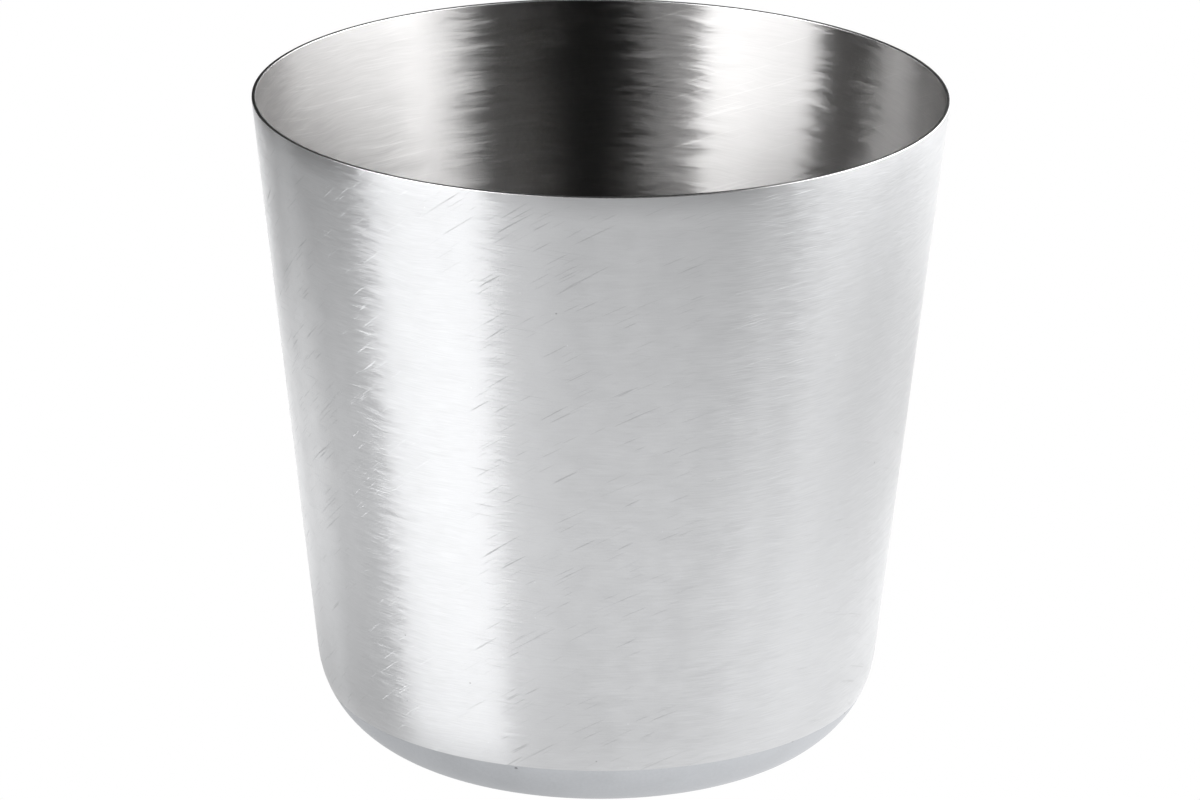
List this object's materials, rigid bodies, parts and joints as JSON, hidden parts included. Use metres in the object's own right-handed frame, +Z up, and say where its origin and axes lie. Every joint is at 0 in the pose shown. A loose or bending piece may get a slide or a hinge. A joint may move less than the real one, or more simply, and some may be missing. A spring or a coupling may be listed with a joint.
{
  "type": "deep drawn metal cup",
  "caption": "Tapered serving cup drawn from brushed stainless sheet, with a plain trimmed rim, a straight wall and a large round corner at its flat base.",
  "frame": {"origin": "middle of the flat base's underside, on the plane that the cup stands on", "axes": "+Z up along the cup's axis, towards the mouth; the cup is round, so +X and +Y are free"},
  "size_m": [0.086, 0.086, 0.0835],
  "materials": {
    "steel": "brushed round the axis, fine and uneven, with light scratches; smoother below the base corner"
  },
  "bodies": {
    "root": {"cup": "steel"}
  },
  "joints": []
}
